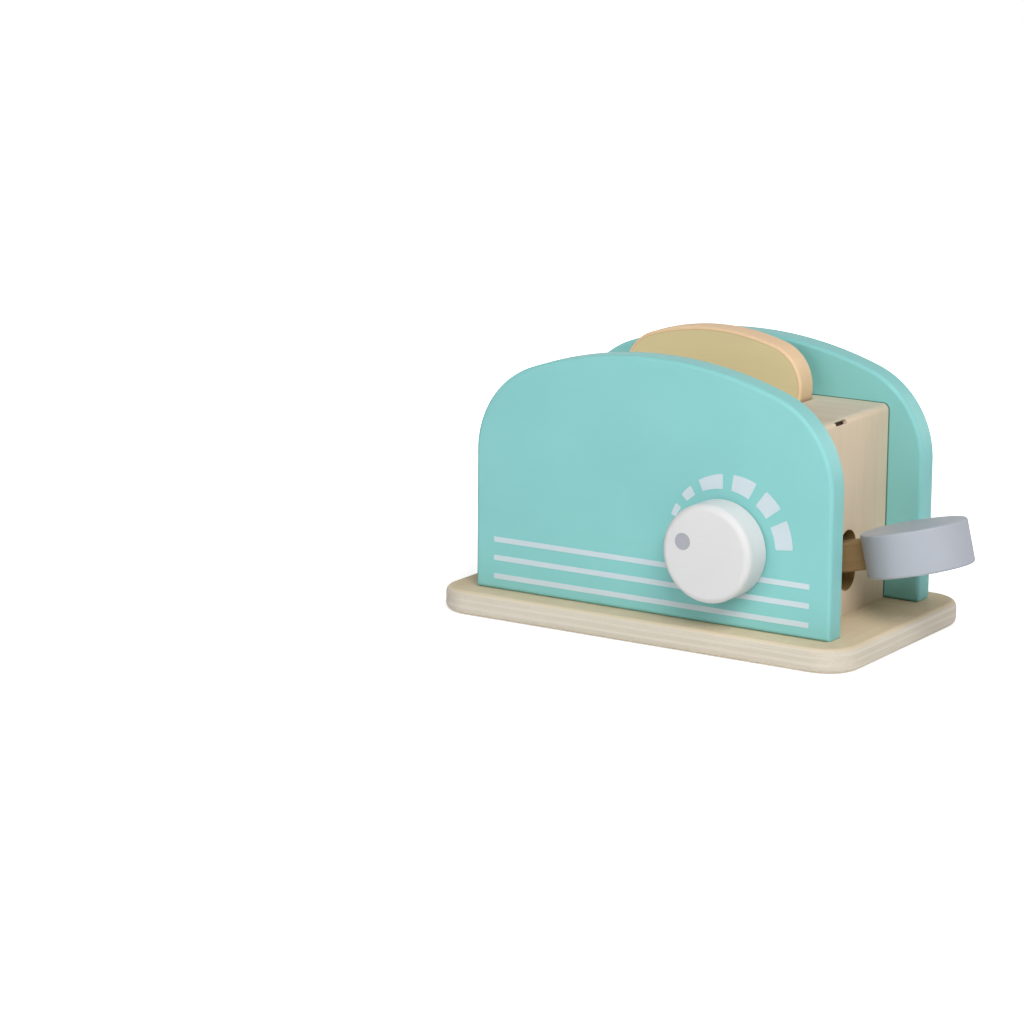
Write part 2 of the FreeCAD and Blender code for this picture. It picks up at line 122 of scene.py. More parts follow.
# %% Links and node trees
class Link:
    """An output socket that Python's operators work on."""

    def __init__(self, tree, socket):
        self.tree = tree
        self.socket = socket

    def __add__(self, other):
        return self.tree.maths("ADD", self, other)

    def __sub__(self, other):
        return self.tree.maths("SUBTRACT", self, other)

    def __rsub__(self, other):
        return self.tree.maths("SUBTRACT", other, self)

    def __mul__(self, other):
        return self.tree.maths("MULTIPLY", self, other)

    def __abs__(self):
        return self.tree.maths("ABSOLUTE", self)

    __radd__ = __add__
    __rmul__ = __mul__


class Nodes:
    """A node tree that grows one node per call."""

    def __init__(self, tree):
        self.tree = tree

    def feed(self, socket, value):
        """Gives a socket a link or a plain value."""
        if isinstance(value, Link):
            self.tree.links.new(value.socket, socket)
        else:
            socket.default_value = value

    def node(self, kind, settings, sockets, output=0):
        made = self.tree.nodes.new(kind)
        stops = settings.pop("stops", ())
        for name, value in settings.items():
            setattr(made, name, value)
        for index, (place, shade) in enumerate(stops):
            stop = made.color_ramp.elements[index] if index < 2 else made.color_ramp.elements.new(place)
            stop.position = place
            stop.color = (shade, shade, shade, 1)
        for name, value in sockets.items():
            self.feed(made.inputs[name], value)
        return Link(self, made.outputs[output])

    def maths(self, operation, first, second=0.0):
        return self.node("ShaderNodeMath", {"operation": operation}, {0: first, 1: second})

    def clamp(self, value):
        return self.maths("MAXIMUM", self.maths("MINIMUM", value, 1.0), 0.0)

    def part(self, vector, axis):
        """The part of a vector along "X", "Y" or "Z"."""
        return self.node("ShaderNodeSeparateXYZ", {}, {0: vector}, axis)

    def ramp(self, value, *stops):
        return self.node("ShaderNodeValToRGB", {"stops": stops}, {"Fac": value})

    def mix(self, factor, first, second):
        """A colour between two colours. The Mix node's colour sockets have numbers, not names."""
        return self.node("ShaderNodeMix", {"data_type": "RGBA"}, {0: factor, 6: first, 7: second}, 2)


print("node helpers ready")

# %% [markdown]
# ## The studio
# The toy stands on a pale floor in soft light. The key, one soft box close by on the front right, makes
# the long front grow darker towards the left. Weaker ones fill in from the front, from high on the side and
# from low behind at both corners, where their gloss misses the camera and the panel rims stay turquoise.
# The background has to be white without putting more light on the wood, so only rays that come from the
# camera, a gloss or a glass see the world at full strength.

# %% World and lamps
ROOM_LIGHT = 0.01
MIDDLE = Vector((0, 0, 60 * MM))

world = bpy.data.worlds.new("studio")
world.use_nodes = True
bpy.context.scene.world = world
room = Nodes(world.node_tree)
rays = ("Is Camera Ray", "Is Glossy Ray", "Is Transmission Ray")
seen = room.clamp(sum(room.node("ShaderNodeLightPath", {}, {}, ray) for ray in rays))
backdrop = world.node_tree.nodes["Background"]
backdrop.inputs["Color"].default_value = (1, 1, 1, 1)
room.feed(backdrop.inputs["Strength"], ROOM_LIGHT + (1 - ROOM_LIGHT) * seen)


def lamp(name, place, size, watts):
    """A square soft box that faces the middle of the toy."""
    data = bpy.data.lights.new(name, "AREA")
    data.size = size
    data.energy = watts
    made = bpy.data.objects.new(name, data)
    made.location = place
    made.rotation_euler = (made.location - MIDDLE).to_track_quat("Z", "Y").to_euler()
    bpy.context.scene.collection.objects.link(made)


lamp("key_softbox", (0.69, -0.82, 0.96), 0.8, 14.6)
lamp("side_softbox", (0.98, -0.17, 1.05), 0.7, 3.0)
lamp("front_softbox", (-0.23, -1.3, 0.54), 0.7, 4.4)
lamp("low_right_softbox", (0.68, 1.17, 0.42), 0.7, 3.8)
lamp("low_left_softbox", (-1.22, 0.57, 0.42), 0.7, 4.0)

# %% [markdown]
# ## The floor
# The floor is one flat sheet. A plain white floor would render light grey, so camera rays also get some
# glow from it. The glow grows with the distance from the toy: from half a metre on it makes the floor pure
# white, and close by it is low enough for the shadow round the base to stay.

# %% Floor
FLOOR_HALF = 3.0
FLOOR_GAP = 0.2 * MM
FLOOR_WHITE = (0.97, 0.97, 0.97, 1)
FLOOR_ROUGHNESS = 0.9
GLOW_STOPS = ((0.12, 0.56), (0.5, 1.0))

sheet = bmesh.new()
bmesh.ops.create_grid(sheet, x_segments=1, y_segments=1, size=FLOOR_HALF)
bmesh.ops.translate(sheet, verts=sheet.verts, vec=(0, 0, -FLOOR_GAP))
floor = bpy.data.objects.new("floor", bpy.data.meshes.new("floor"))
sheet.to_mesh(floor.data)
sheet.free()
bpy.context.scene.collection.objects.link(floor)

pale = bpy.data.materials.new("pale_floor")
pale.use_nodes = True
floor_nodes = Nodes(pale.node_tree)
matte = pale.node_tree.nodes["Principled BSDF"]
matte.inputs["Base Color"].default_value = FLOOR_WHITE
matte.inputs["Roughness"].default_value = FLOOR_ROUGHNESS
own = floor_nodes.node("ShaderNodeTexCoord", {}, {}, "Object")
distance = floor_nodes.node("ShaderNodeVectorMath", {"operation": "LENGTH"}, {0: own}, "Value")
glow = floor_nodes.ramp(distance, *GLOW_STOPS)
floor_nodes.feed(matte.inputs["Emission Color"], glow)
camera_ray = floor_nodes.node("ShaderNodeLightPath", {}, {}, "Is Camera Ray")
floor_nodes.feed(matte.inputs["Emission Strength"], camera_ray)
floor.data.materials.append(pale)
floor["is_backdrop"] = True
print("floor is", round(floor.dimensions.x, 1), "m wide")

# %% [markdown]
# ## Finishes start from one class
# Every finish on the toy is a Principled shader fed with patterns in the piece's own coordinates.
# Textures could be painted on unwrapped faces, but solid patterns run through the wood as grain does
# and need no seams. The class measures in millimetres, so a scale of 0.5 means a feature every 2 mm.

# %% Finish class
def swatch(red, green, blue):
    """A colour read from a paint swatch, 0 to 255, as the linear values that shaders use."""
    steps = [value / 255 for value in (red, green, blue)]
    return [((step + 0.055) / 1.055) ** 2.4 for step in steps] + [1]


class Finish(Nodes):
    """A material whose shader is fed from the piece's own coordinates, in millimetres."""

    def __init__(self, name, turn=(0, 0, 0), shift=(0, 0, 0)):
        self.material = bpy.data.materials.new(name)
        self.material.use_nodes = True
        super().__init__(self.material.node_tree)
        self.shader = self.material.node_tree.nodes["Principled BSDF"]
        own = self.node("ShaderNodeTexCoord", {}, {}, "Object")
        scale = (1 / MM, 1 / MM, 1 / MM)
        sockets = {"Vector": own, "Rotation": turn, "Scale": scale, "Location": shift}
        self.place = self.node("ShaderNodeMapping", {}, sockets)

    def noise(self, stretch, detail=3.0, rough=0.5):
        """Cloudy pattern from 0 to 1; stretch is features per millimetre along each axis."""
        vector = self.node("ShaderNodeVectorMath", {"operation": "MULTIPLY"}, {0: self.place, 1: stretch})
        sockets = {"Vector": vector, "Scale": 1.0, "Detail": detail, "Roughness": rough}
        return self.node("ShaderNodeTexNoise", {}, sockets)

    def look(self, colour, roughness, shine=0.5):
        """Colour, roughness and how strongly the surface mirrors; 0.5 is plain lacquer."""
        self.feed(self.shader.inputs["Base Color"], colour)
        self.feed(self.shader.inputs["Roughness"], roughness)
        self.shader.inputs["Specular IOR Level"].default_value = shine

    def relief(self, height, depth):
        """Bumps as deep as this where the height goes from 0 to 1."""
        sockets = {"Height": height, "Distance": depth, "Strength": 1.0}
        self.feed(self.shader.inputs["Normal"], self.node("ShaderNodeBump", {}, sockets))


print("swatch of mid grey:", round(swatch(128, 128, 128)[0], 3))

# %% [markdown]
# ## Paint
# The panels, knob, paddle and bread are sprayed. Sprayed paint is one colour only from a distance: the
# film is a touch thicker here and there, and it dries with a fine orange peel that breaks up the gloss.
# Under thin paint on solid wood the grain still shows as low ridges, so the recipe takes how strongly.
# The panels get one thing more: a fine dark line of painted shade where the case boards meet them, so
# the recipe measures, in millimetres, how far a point of the inner face lies outside the case's outline.

# %% Paint recipe
PEEL_DEPTH = 0.012 * MM
PAINT_SHINE = 0.2
# Width in millimetres and colour of the painted shade along the joints with the case.
JOINT_SHADE_WIDTH = 0.3
JOINT_SHADE_COLOUR = swatch(96, 128, 115)


def joint_shade_mask(finish):
    """1 on a panel's inner face along the outline of the case, where the shade is painted, else 0."""
    x, y, z = (finish.part(finish.place, axis) for axis in "XYZ")
    along_x = finish.maths("MAXIMUM", abs(x) - (end_high.x - CASE_ROUNDING) / MM)
    along_z = finish.maths("MAXIMUM", z - (top_high.z - CASE_ROUNDING) / MM)
    outside = finish.maths("SQRT", along_x * along_x + along_z * along_z) - CASE_ROUNDING / MM
    near = finish.maths("LESS_THAN", abs(outside + JOINT_SHADE_WIDTH), 2 * JOINT_SHADE_WIDTH)
    return near * finish.maths("LESS_THAN", abs(y), end_high.y / MM + JOINT_SHADE_WIDTH)


def paint(name, colour, deeper, gloss=0.42, grain=0.0, joint_shaded=False):
    """Sprayed paint over wood whose grain runs along X."""
    finish = Finish(name)
    clouds = finish.noise((0.025, 0.025, 0.025), 2.0)
    peel = finish.noise((1.1, 1.1, 1.1), 2.0)
    ridges = finish.noise((0.04, 1.4, 1.4), 4.0)
    film = finish.ramp(0.8 * clouds + 0.2 * ridges, (0.3, 0.0), (0.7, 1.0))
    sprayed = finish.mix(film, colour, deeper)
    if joint_shaded:
        # Painted shade: a fine dark line in the paint along the case's outline.
        sprayed = finish.mix(joint_shade_mask(finish), sprayed, JOINT_SHADE_COLOUR)
    finish.look(sprayed, gloss + 0.1 * (peel - 0.5), PAINT_SHINE)
    finish.relief(peel + grain * ridges, PEEL_DEPTH)
    return finish.material


turquoise = paint("turquoise_paint", swatch(139, 204, 202), swatch(135, 200, 198), joint_shaded=True)
white = paint("white_paint", swatch(220, 219, 219), swatch(215, 214, 214), gloss=0.38, grain=1.0)
grey = paint("grey_paint", swatch(174, 178, 187), swatch(168, 173, 182), gloss=0.45, grain=1.5)
dot_grey = paint("dot_paint", swatch(172, 173, 181), swatch(166, 168, 176), gloss=0.4)
ink = paint("white_print", swatch(206, 219, 225), swatch(200, 214, 220), gloss=0.5)
print("paints mixed:", len([m for m in bpy.data.materials if "paint" in m.name]))

# %% [markdown]
# ## Bare wood
# The boards are a pale, close-grained wood. A trunk is a stack of cones round a pith, so the distance from
# a far-off line, bent a little by noise, gives rings that a flat sawn face cuts into long arches and an
# end cuts into curves, with no picture needed. Fibres and short pores are noise drawn out along the grain.

# %% Wood recipe
PITH = Vector((0.0, 64.0, 88.0))
NEXT_PLANK = Vector((41.0, 0.0, 3.0))
RING_GAP = 7.5
RING_BEND = 40.0
GRAIN_DEPTH = 0.02 * MM
WOOD_SHINE = 0.15


def wood(name, turn, early, late, plank, contrast=0.2):
    """Close-grained wood; the turn takes the grain onto X, and each plank lies elsewhere in the trunk."""
    finish = Finish(name, turn, PITH + plank * NEXT_PLANK)
    across = finish.node("ShaderNodeVectorMath", {"operation": "MULTIPLY"}, {0: finish.place, 1: (0, 1, 1)})
    distance = finish.node("ShaderNodeVectorMath", {"operation": "LENGTH"}, {0: across}, "Value")
    bend = finish.noise((0.006, 0.03, 0.03), 2.0)
    rings = finish.maths("FRACT", (distance + RING_BEND * bend) * (1 / RING_GAP))
    late_wood = finish.ramp(rings, (0.0, 0.0), (0.5, 0.4), (0.85, 1.0), (1.0, 0.0))
    fibres = finish.noise((0.015, 0.6, 0.6), 4.0, 0.55)
    pores = finish.ramp(finish.noise((0.1, 4.5, 4.5), 2.0), (0.62, 0.0), (0.72, 1.0))
    patches = finish.noise((0.006, 0.05, 0.05), 2.0)
    tone = contrast * late_wood + 0.35 * (fibres - 0.5) + 1.2 * (patches - 0.5) + 0.12 * pores + 0.35
    finish.look(finish.mix(finish.clamp(tone), early, late), 0.55 + 0.15 * fibres, WOOD_SHINE)
    finish.relief(fibres + 0.2 * late_wood - 0.5 * pores, GRAIN_DEPTH)
    return finish.material


ALONG_X = (0, 0, 0)
ALONG_Y = (0, 0, -QUARTER_TURN)
ALONG_Z = (0, QUARTER_TURN, 0)
TILT = math.radians(13.6)
ALONG_ARM = (0, TILT, 0)

top_wood = wood("case_wood_top", ALONG_X, swatch(223, 214, 195), swatch(202, 188, 163), 1)
end_wood = wood("case_wood_end", ALONG_Z, swatch(228, 210, 185), swatch(211, 189, 161), 2, contrast=0.08)
# The pieces inside get a browner wood than the case, which paints in the shade inside the case.
inner_wood = wood("inner_wood", ALONG_X, swatch(196, 172, 132), swatch(170, 142, 102), 3)
block_wood = wood("block_wood", ALONG_Z, swatch(196, 172, 132), swatch(170, 142, 102), 4)
# The walls of the arm's slot get a browner wood, as painted shade for the inside of the slot.
slot_shade_wood = wood("slot_shade_wood", ALONG_Z, swatch(176, 146, 98), swatch(150, 118, 74), 8)
arm_wood = wood("arm_wood", ALONG_ARM, swatch(159, 134, 98), swatch(135, 108, 72), 5)
dowel_pale = swatch(214, 196, 164)
dowel_late = swatch(190, 164, 126)
upright_dowel = wood("dowel_wood_upright", ALONG_Z, dowel_pale, dowel_late, 6)
cross_dowel = wood("dowel_wood_cross", ALONG_Y, dowel_pale, dowel_late, 7)
print("woods cut:", len([m for m in bpy.data.materials if "wood" in m.name]))

# %% [markdown]
# ## Plywood
# The base is seven veneers, glued with their grain turned a quarter from one to the next. The recipe
# counts the veneers from the height, gives each its own grain direction and darkens the ones whose ends
# face outwards, because cut ends soak up light. A thin brown line between them is the glue. The outer
# veneer is warmer where it lies flat, so the normal also chooses between two pairs of colours.

# %% Plywood recipe
PLY_COUNT = 7
PLY = (base_high.z - base_low.z) / PLY_COUNT
PLY_WAVER = 0.35
VENEER_GRAIN_DEPTH = 0.025 * MM
PLY_EDGE_PALE = swatch(223, 215, 202)
PLY_EDGE_DEEP = swatch(192, 181, 161)
PLY_FACE_PALE = swatch(225, 208, 179)
PLY_FACE_DEEP = swatch(198, 179, 148)


def plywood(name):
    """Veneers laid flat, the first one with its grain along X."""
    finish = Finish(name)
    wobble = finish.noise((0.05, 0.05, 0.2), 2.0)
    level = (finish.part(finish.place, "Z") + PLY_WAVER * (wobble - 0.5)) * (MM / PLY)
    cross = finish.maths("FRACT", finish.maths("FLOOR", level) * 0.5) * 2.0
    glue = finish.ramp(abs(finish.maths("FRACT", level) - 0.5), (0.42, 0.0), (0.5, 1.0))
    long_fibres = finish.noise((0.02, 0.9, 1.6), 5.0, 0.6)
    cross_fibres = finish.noise((0.9, 0.02, 1.6), 5.0, 0.6)
    fibres = long_fibres + cross * (cross_fibres - long_fibres)
    facing = finish.node("ShaderNodeTexCoord", {}, {}, "Normal")
    lengthwise, sideways, upward = (abs(finish.part(facing, axis)) for axis in "XYZ")
    cut_ends = lengthwise + cross * (sideways - lengthwise)
    patches = finish.noise((0.008, 0.03, 0.1), 3.0)
    tone = 0.7 * (fibres - 0.5) + 0.22 * cut_ends + 0.35 * glue + 0.5 * (patches - 0.5) + 0.25
    shade = finish.clamp(tone)
    edge = finish.mix(shade, PLY_EDGE_PALE, PLY_EDGE_DEEP)
    face = finish.mix(shade, PLY_FACE_PALE, PLY_FACE_DEEP)
    lies_flat = finish.ramp(upward, (0.55, 0.0), (0.9, 1.0))
    finish.look(finish.mix(lies_flat, edge, face), 0.55 + 0.15 * fibres, WOOD_SHINE)
    finish.relief(fibres - 0.3 * glue, VENEER_GRAIN_DEPTH)
    return finish.material


plies = plywood("birch_plywood")
print("plywood:", PLY_COUNT, "plies of", round(PLY / MM, 2), "mm")

# %% [markdown]
# ## Bread paint
# The slice is a board sprayed khaki on its two faces and peach round its edge. The edge colour wraps over
# onto the face, and where the two films overlap they dry as a thin darker line. Both borders follow the
# outline of the slice, so they are read from a value that the mesh itself carries.

# %% Bread paint recipe
CRUMB_PALE = swatch(227, 210, 164)
CRUMB_DEEP = swatch(221, 204, 158)
CRUST_PALE = swatch(240, 207, 169)
CRUST_DEEP = swatch(234, 200, 161)
OVERLAP_SHADE = swatch(198, 166, 120)
OVERLAP_SHARE = 0.6


def bread_paint(name):
    """Crust paint where the mesh's value 'crust' is 1, crumb paint where it is 0."""
    finish = Finish(name)
    crust = finish.node("ShaderNodeAttribute", {"attribute_name": "crust"}, {}, "Fac")
    clouds = finish.noise((0.03, 0.03, 0.03), 3.0)
    peel = finish.noise((0.9, 0.9, 0.9), 2.0)
    ridges = finish.noise((0.05, 1.5, 1.5), 4.0)
    warm = finish.ramp(0.6 * clouds + 0.4 * ridges, (0.3, 0.0), (0.7, 1.0))
    crumb = finish.mix(warm, CRUMB_PALE, CRUMB_DEEP)
    edge = finish.mix(warm, CRUST_PALE, CRUST_DEEP)
    overlap = finish.ramp(crust, (0.0, 0.0), (0.5, 1.0), (1.0, 0.0))
    both = finish.mix(finish.ramp(crust, (0.5, 0.0), (0.75, 1.0)), crumb, edge)
    colour = finish.mix(overlap * OVERLAP_SHARE, both, OVERLAP_SHADE)
    finish.look(colour, 0.5 + 0.1 * (peel - 0.5), PAINT_SHINE)
    finish.relief(peel + 0.8 * ridges, PEEL_DEPTH)
    return finish.material


bread = bread_paint("bread_paint")
print("bread paint nodes:", len(bread.node_tree.nodes))

# %% [markdown]
# ## Steel
# Screws and staples are plain wire steel. The screws are bright where the driver has touched them, while
# the staples are a dark, rough brown. One recipe does for both: metal with a fine brushed
# noise in its colour and roughness.

# %% Steel recipe
BRUSH_DEPTH = 0.01 * MM


def steel(name, bright, dull, gloss):
    """Brushed steel between two greys or browns."""
    finish = Finish(name)
    brushed = finish.noise((0.4, 6.0, 6.0), 3.0)
    finish.look(finish.mix(brushed, bright, dull), gloss + 0.25 * brushed)
    finish.shader.inputs["Metallic"].default_value = 1.0
    finish.relief(brushed, BRUSH_DEPTH)
    return finish.material


bright_steel = steel("bright_steel", swatch(176, 174, 170), swatch(146, 144, 141), gloss=0.28)
dull_steel = steel("dull_steel", swatch(74, 58, 44), swatch(48, 38, 30), gloss=0.5)
print("steels:", bright_steel.name, dull_steel.name)

# %% [markdown]
# ## A pen for outlines
# Most pieces are boards cut to an outline. A list of points would hide the radii, so a small pen draws in
# the XZ plane instead: a straight run extrudes the last vertex, and a round run spins it about a centre.
# Half an outline is enough for a symmetric board, since the mirror operator adds the other half.

# %% Pen
TINY = 0.001 * MM


def only_verts(geometry):
    return [item for item in geometry if isinstance(item, bmesh.types.BMVert)]


def everything(mesh):
    """All of a mesh, as an operator's geom."""
    return mesh.verts[:] + mesh.edges[:] + mesh.faces[:]


class Pen:
    """Draws an outline in the XZ plane of a new bmesh."""

    def __init__(self, x, z):
        self.mesh = bmesh.new()
        self.tip = bmesh.ops.create_vert(self.mesh, co=(x, 0, z))["vert"][0]
        self.start = self.tip

    def line(self, x, z):
        self.tip = bmesh.ops.extrude_vert_indiv(self.mesh, verts=[self.tip])["verts"][0]
        self.tip.co = (x, 0, z)

    def arc(self, x, z, turn, steps):
        """Turns about (x, z) by an angle that is positive from +X towards +Z."""
        centre = {"cent": (x, 0, z), "axis": (0, -1, 0)}
        spun = bmesh.ops.spin(self.mesh, geom=[self.tip], angle=turn, steps=steps, **centre)
        self.tip = only_verts(spun["geom_last"])[0]

    def close(self):
        """Draws the last straight run, back to the start."""
        bmesh.ops.contextual_create(self.mesh, geom=[self.tip, self.start])

    def weld(self):
        """Joins the start to a tip that has already come back to it."""
        bmesh.ops.remove_doubles(self.mesh, verts=self.mesh.verts, dist=TINY)

    def mirror(self):
        """Adds the left half to a right half that starts and ends at X 0."""
        bmesh.ops.mirror(self.mesh, geom=everything(self.mesh), axis="X", merge_dist=TINY)


print("two points count as one within", TINY / MM, "mm")

# %% [markdown]
# ## From outline to solid
# An outline that is filled and extruded is a board, and one that is spun about an axis is turned work, as
# on a lathe. A plain box starts from a cube instead. The helpers below also choose edges by where they lie
# or which way they run, since a bevel has to be told which edges to round.

# %% Solids and their edges
ALIGNED = 0.999


def move(mesh, x, y, z):
    bmesh.ops.translate(mesh, verts=mesh.verts, vec=(x, y, z))


def rotate(mesh, angle, axis):
    """Turns a whole mesh about an axis through the origin."""
    bmesh.ops.rotate(mesh, verts=mesh.verts, cent=(0, 0, 0), matrix=Matrix.Rotation(angle, 3, axis))


def thicken(mesh, *run):
    """Makes a flat sheet solid by extruding it along a run."""
    grown = bmesh.ops.extrude_face_region(mesh, geom=mesh.faces[:])["geom"]
    bmesh.ops.translate(mesh, verts=only_verts(grown), vec=run)
    bmesh.ops.recalc_face_normals(mesh, faces=mesh.faces)


def board(pen, near_y, far_y):
    """Fills a closed outline and gives it thickness, from one Y to another."""
    mesh = pen.mesh
    bmesh.ops.edgeloop_fill(mesh, edges=mesh.edges[:])
    move(mesh, 0, near_y, 0)
    thicken(mesh, 0, far_y - near_y, 0)
    return mesh


def turned(pen, steps):
    """Spins a closed or axis-to-axis outline once round the X axis, as on a lathe."""
    mesh = pen.mesh
    about = {"cent": (0, 0, 0), "axis": (1, 0, 0), "angle": 2 * math.pi}
    bmesh.ops.spin(mesh, geom=everything(mesh), steps=steps, use_merge=True, **about)
    bmesh.ops.remove_doubles(mesh, verts=mesh.verts, dist=TINY)
    bmesh.ops.recalc_face_normals(mesh, faces=mesh.faces)
    return mesh


def slab(low, high):
    """A box between two corners."""
    mesh = bmesh.new()
    bmesh.ops.create_cube(mesh, size=1.0)
    low, high = Vector(low), Vector(high)
    bmesh.ops.scale(mesh, verts=mesh.verts, vec=high - low)
    move(mesh, *(low + high) / 2)
    return mesh


def round_over(mesh, edges, radius, segments):
    options = {"affect": "EDGES", "profile": 0.5, "material": -1, "offset_type": "OFFSET"}
    bmesh.ops.bevel(mesh, geom=edges, offset=radius, segments=segments, **options)


def edges_on(mesh, axis, *levels):
    """Edges whose two ends lie on one of these levels along an axis: 0 is X, 1 is Y and 2 is Z."""
    found = []
    for edge in mesh.edges:
        first, second = (vert.co[axis] for vert in edge.verts)
        if any(abs(first - level) < TINY and abs(second - level) < TINY for level in levels):
            found.append(edge)
    return found


def edges_along(mesh, axis):
    """Edges that run along an axis, numbered in the same way."""
    runs = [(edge, edge.verts[1].co - edge.verts[0].co) for edge in mesh.edges]
    return [edge for edge, run in runs if abs(run[axis]) > ALIGNED * run.length]


print("aligned edges lie within", round(math.degrees(math.acos(ALIGNED)), 1), "degrees of an axis")

# %% [markdown]
# ## From mesh to finished piece
# Slots and bores are cut with the Boolean modifier, which handles any tool shape, and their new edges are
# then eased with a narrow bevel, as sandpaper does. Weighted normals keep the flat faces flat next to the
# rounded edges. Each step is applied at once, so that a finished piece is a plain mesh at the origin.

# %% Cutting, sanding and finishing
OVERSHOOT = 1.0 * MM
SANDED_TURN = math.radians(50)
SMOOTH_TURN = math.radians(38)


def as_object(name, mesh):
    thing = bpy.data.objects.new(name, bpy.data.meshes.new(name))
    mesh.to_mesh(thing.data)
    mesh.free()
    bpy.context.scene.collection.objects.link(thing)
    return thing


def apply_steps(thing):
    """Replaces the mesh by what its modifiers make of it."""
    graph = bpy.context.evaluated_depsgraph_get()
    result = bpy.data.meshes.new_from_object(thing.evaluated_get(graph))
    thing.modifiers.clear()
    thing.data = result


def cut(thing, *tools):
    """Takes the space of each tool out of the piece; a tool is a bmesh that reaches past the surface."""
    tools = [as_object("tool", tool) for tool in tools]
    for tool in tools:
        step = thing.modifiers.new("cut", "BOOLEAN")
        step.operation = "DIFFERENCE"
        step.solver = "EXACT"
        step.object = tool
    apply_steps(thing)
    for tool in tools:
        bpy.data.objects.remove(tool)


def sand(thing, width):
    """Eases every edge that turns by more than SANDED_TURN."""
    step = thing.modifiers.new("sanding", "BEVEL")
    step.width = width
    step.segments = 2
    step.limit_method = "ANGLE"
    step.angle_limit = SANDED_TURN
    apply_steps(thing)


def finish_piece(thing, material, body, slot, *nodes):
    """Smooths the shading, gives the finish, hangs the piece on its body and hides the parts that it stands
    for.
    """
    thing.data.materials.clear()
    thing.data.materials.append(material)
    thing.data.shade_smooth()
    thing.data.set_sharp_from_angle(angle=SMOOTH_TURN)
    step = thing.modifiers.new("flat_faces", "WEIGHTED_NORMAL")
    step.keep_sharp = True
    apply_steps(thing)
    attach(thing, body)
    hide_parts(*nodes)
    print(thing.name, len(thing.data.polygons), "faces", [round(side / MM, 1) for side in thing.dimensions])


print("shading is smooth across turns up to", round(math.degrees(SMOOTH_TURN)), "degrees")

# %% [markdown]
# ## Base board
# The base is a plywood board with round corners and a routed edge. It starts as a cube, because beveling
# the four uprights and then the two rims gives exactly those two radii. The rims are then sliced at every
# glue line, and the cross plies are set back a few hundredths of a millimetre, since cut ends sand lower.

# %% Model the base board
BASE_CORNER = 16.5 * MM
BASE_ROUTING = 3.0 * MM
SANDED_LOW = 0.06 * MM

mesh = slab(base_low, base_high)
round_over(mesh, edges_along(mesh, 2), BASE_CORNER, segments=14)
round_over(mesh, edges_on(mesh, 2, base_low.z, base_high.z), BASE_ROUTING, segments=6)
for count in range(1, PLY_COUNT):
    glue_level = {"plane_co": (0, 0, count * PLY), "plane_no": (0, 0, 1)}
    bmesh.ops.bisect_plane(mesh, geom=everything(mesh), **glue_level)
for count in range(1, PLY_COUNT, 2):
    ring = [face for face in mesh.faces if int(face.calc_center_median().z / PLY) == count]
    inset = {"thickness": SANDED_LOW, "depth": -SANDED_LOW, "use_even_offset": True, "use_boundary": True}
    bmesh.ops.inset_region(mesh, faces=ring, **inset)
base = as_object("plywood_base", mesh)
print("cross plies set back", round(SANDED_LOW / MM, 2), "mm")

# %% [markdown]
# ## Screws and their holes
# Ten countersunk wood screws come up through the base into the boards. Both the screw and its hole are
# lathe work, so one profile spun round makes each. The cross in the head is cut with two crossed slabs
# that grow narrower into the head, as a driver bit does.

# %% Screws
SCREW_SINK = 0.3 * MM
SCREW_HEAD = 4.0 * MM
SCREW_SHANK = 2.0 * MM
SCREW_CONE = 2.4 * MM
SCREW_LENGTH = 25.0 * MM
SCREW_POINT = 3.0 * MM
SCREW_RIM = 0.2 * MM
CROSS_REACH = 2.2 * MM
CROSS_HALF = 0.5 * MM
CROSS_DEPTH = 1.5 * MM
CROSS_TAPER = 0.6
HOLE_PLAY = 0.2 * MM
PANEL_SCREW_X = front_high.x - 30.0 * MM
PANEL_SCREW_Y = (back_low.y + back_high.y) / 2
END_SCREW_X = (end_low.x + end_high.x) / 2
END_SCREW_Y = end_high.y - 12.75 * MM
BLOCK_SCREW_Y = 10.5 * MM


def screw_places():
    places = [(pivot.x, BLOCK_SCREW_Y), (pivot.x, -BLOCK_SCREW_Y)]
    for x, y in ((PANEL_SCREW_X, PANEL_SCREW_Y), (END_SCREW_X, END_SCREW_Y)):
        places += [(x, y), (-x, y), (x, -y), (-x, -y)]
    return places


def upright_lathe(pen, x, y):
    """Turned work stood up on its X axis at a place on the floor plan."""
    mesh = turned(pen, steps=32)
    rotate(mesh, -QUARTER_TURN, "Y")
    move(mesh, x, y, 0)
    return mesh


def screw_hole(x, y):
    pen = Pen(-OVERSHOOT, 0)
    pen.line(-OVERSHOOT, SCREW_HEAD + HOLE_PLAY)
    pen.line(SCREW_SINK, SCREW_HEAD + HOLE_PLAY)
    pen.line(SCREW_SINK + SCREW_CONE, SCREW_SHANK + HOLE_PLAY)
    pen.line(base_high.z + OVERSHOOT, SCREW_SHANK + HOLE_PLAY)
    pen.line(base_high.z + OVERSHOOT, 0)
    return upright_lathe(pen, x, y)


def screw(x, y):
    pen = Pen(SCREW_SINK, 0)
    pen.line(SCREW_SINK, SCREW_HEAD - SCREW_RIM)
    pen.line(SCREW_SINK + SCREW_RIM, SCREW_HEAD)
    pen.line(SCREW_SINK + SCREW_CONE, SCREW_SHANK)
    pen.line(SCREW_SINK + SCREW_LENGTH - SCREW_POINT, SCREW_SHANK)
    pen.line(SCREW_SINK + SCREW_LENGTH, 0)
    return upright_lathe(pen, x, y)


